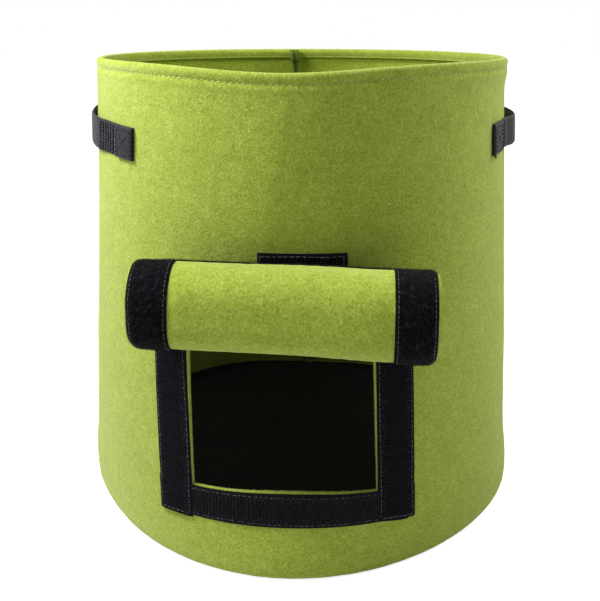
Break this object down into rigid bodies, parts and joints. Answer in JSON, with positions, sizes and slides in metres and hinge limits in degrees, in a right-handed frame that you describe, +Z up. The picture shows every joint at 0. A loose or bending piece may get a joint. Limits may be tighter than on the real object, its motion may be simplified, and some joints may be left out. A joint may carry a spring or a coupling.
{
  "type": "fabric grow bag",
  "caption": "Round felt planter bag with a harvest window, a rolled-up hook-and-loop flap above it and webbing carry handles.",
  "frame": {"origin": "centre of the round base, on the ground", "axes": "+Z up along the bag's axis, -Y out through the harvest window, +X to the right as the window is faced"},
  "size_m": [0.3778, 0.4161, 0.375],
  "materials": {
    "felt_green": "needle-punched felt, matt and slightly hairy",
    "felt_black": "black needle-punched felt",
    "hook_tape": "woven tape with rows of fine nylon hooks",
    "loop_tape": "brushed nylon loop pile",
    "webbing": "ribbed polypropylene webbing"
  },
  "bodies": {
    "bag": {"wall_panel": "felt_green", "base_panel": "felt_black", "hook_tape_left": "hook_tape", "hook_tape_right": "hook_tape", "hook_tape_sill": "hook_tape", "hold_open_patch": "hook_tape", "flap_top_seam": "felt_green", "left_handle_front_end": "webbing", "left_handle_rear_end": "webbing", "right_handle_front_end": "webbing", "right_handle_rear_end": "webbing"},
    "flap": {"flap_panel": "felt_green", "loop_tape_left": "loop_tape", "loop_tape_right": "loop_tape", "loop_tape_hem": "loop_tape"},
    "left_handle": {"left_handle_grip": "webbing"},
    "right_handle": {"right_handle_grip": "webbing"}
  },
  "joints": [
    {"name": "flap_lift", "type": "hinge", "parent": "bag", "child": "flap", "pos_m": [0, -0.18409, 0.244], "axis": [-1, 0, 0], "range_deg": [0, 25]},
    {"name": "left_handle_lift", "type": "hinge", "parent": "bag", "child": "left_handle", "pos_m": [-0.15228, -0.02713, 0.317], "axis": [-0.1754, 0.9845, 0], "range_deg": [0, 15]},
    {"name": "right_handle_lift", "type": "hinge", "parent": "bag", "child": "right_handle", "pos_m": [0.15041, 0.03611, 0.317], "axis": [0.2334, -0.9724, 0], "range_deg": [0, 15]}
  ]
}
